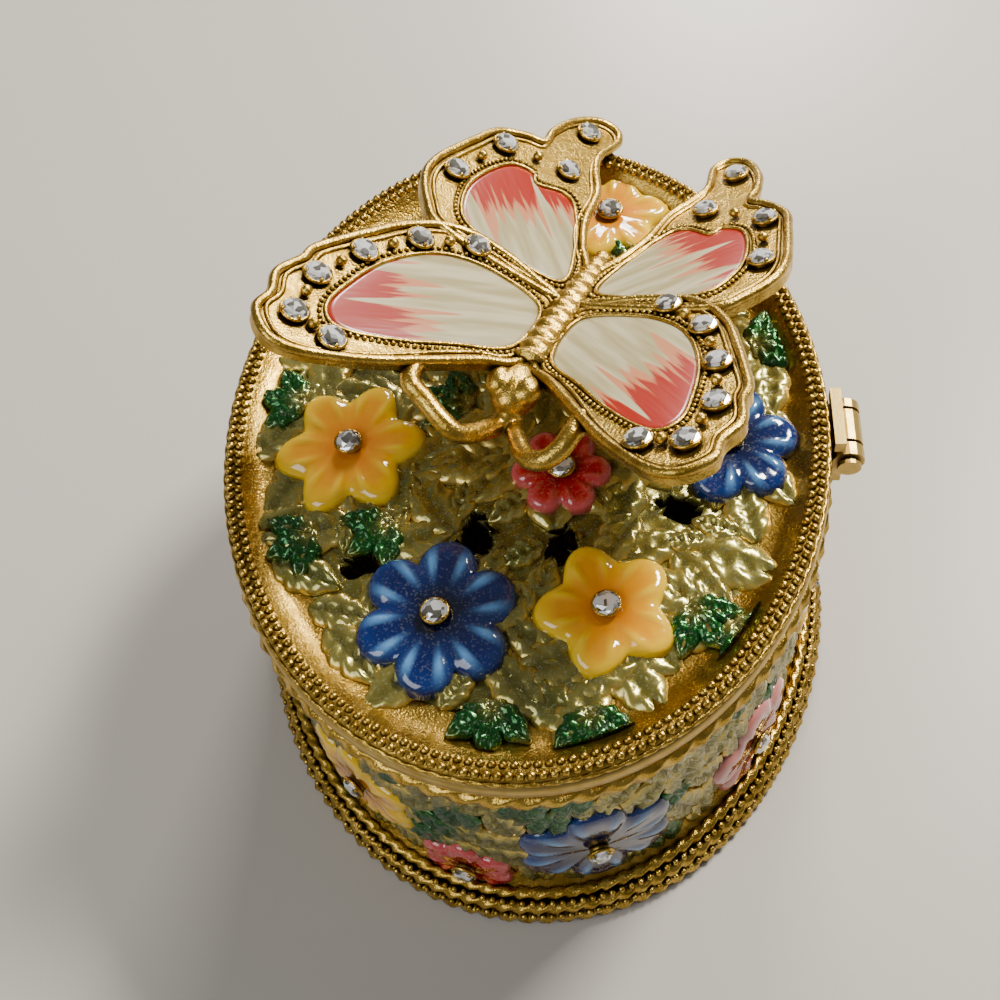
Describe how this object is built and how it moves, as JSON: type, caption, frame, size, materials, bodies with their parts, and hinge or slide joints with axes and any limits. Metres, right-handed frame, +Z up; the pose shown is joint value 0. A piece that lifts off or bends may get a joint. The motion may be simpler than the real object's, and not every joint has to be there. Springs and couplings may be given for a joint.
{
  "type": "butterfly trinket box",
  "caption": "Small oval hinged trinket box of gold-coloured cast metal, pierced and enamelled with flowers and leaves, with an enamelled butterfly set with cut crystals on its lid",
  "frame": {"origin": "middle of the flat underside of the foot", "axes": "+X is towards the hinge, across the oval's short way; +Y is along the oval's long way; +Z is up"},
  "size_m": [0.0556, 0.0684, 0.0484],
  "materials": {
    "antique_gold": "bright antiqued gold plate, darker in the hollows",
    "plain_gold": "satin gold plate",
    "crystal": "cut clear glass, foiled at the back",
    "enamel_cream": "pearly cream and red brushed enamel",
    "enamel_flower": "wet-looking glossy enamel in yellow, blue, red and pink",
    "enamel_leaf": "glossy translucent olive enamel over metal, with dark green accents"
  },
  "bodies": {
    "base": {"base": "antique_gold", "crystal_wall_blue_front": "crystal", "crystal_wall_blue_rear": "crystal", "crystal_wall_blue_right": "crystal", "crystal_wall_pink_left": "crystal", "crystal_wall_pink_rear": "crystal", "crystal_wall_pink_right": "crystal", "crystal_wall_red_front": "crystal", "crystal_wall_red_rear": "crystal", "crystal_wall_yellow_left": "crystal", "crystal_wall_yellow_rear": "crystal", "crystal_wall_yellow_right": "crystal", "hinge_leaf_base": "plain_gold", "hinge_pin": "plain_gold"},
    "lid": {"butterfly": "antique_gold", "crystal_left_wing_1": "crystal", "crystal_left_wing_10": "crystal", "crystal_left_wing_2": "crystal", "crystal_left_wing_3": "crystal", "crystal_left_wing_4": "crystal", "crystal_left_wing_5": "crystal", "crystal_left_wing_6": "crystal", "crystal_left_wing_7": "crystal", "crystal_left_wing_8": "crystal", "crystal_left_wing_9": "crystal", "crystal_lid_blue_front": "crystal", "crystal_lid_blue_right": "crystal", "crystal_lid_red_middle": "crystal", "crystal_lid_red_rear": "crystal", "crystal_lid_yellow_front": "crystal", "crystal_lid_yellow_left": "crystal", "crystal_lid_yellow_rear": "crystal", "crystal_right_wing_1": "crystal", "crystal_right_wing_10": "crystal", "crystal_right_wing_2": "crystal", "crystal_right_wing_3": "crystal", "crystal_right_wing_4": "crystal", "crystal_right_wing_5": "crystal", "crystal_right_wing_6": "crystal", "crystal_right_wing_7": "crystal", "crystal_right_wing_8": "crystal", "crystal_right_wing_9": "crystal", "hinge_leaf_lid": "plain_gold", "lid": "antique_gold"}
  },
  "joints": [
    {"name": "lid_hinge", "type": "hinge", "parent": "base", "child": "lid", "pos_m": [0.0271, 0, 0.0263], "axis": [0, 1, 0], "range_deg": [0, 105]}
  ]
}
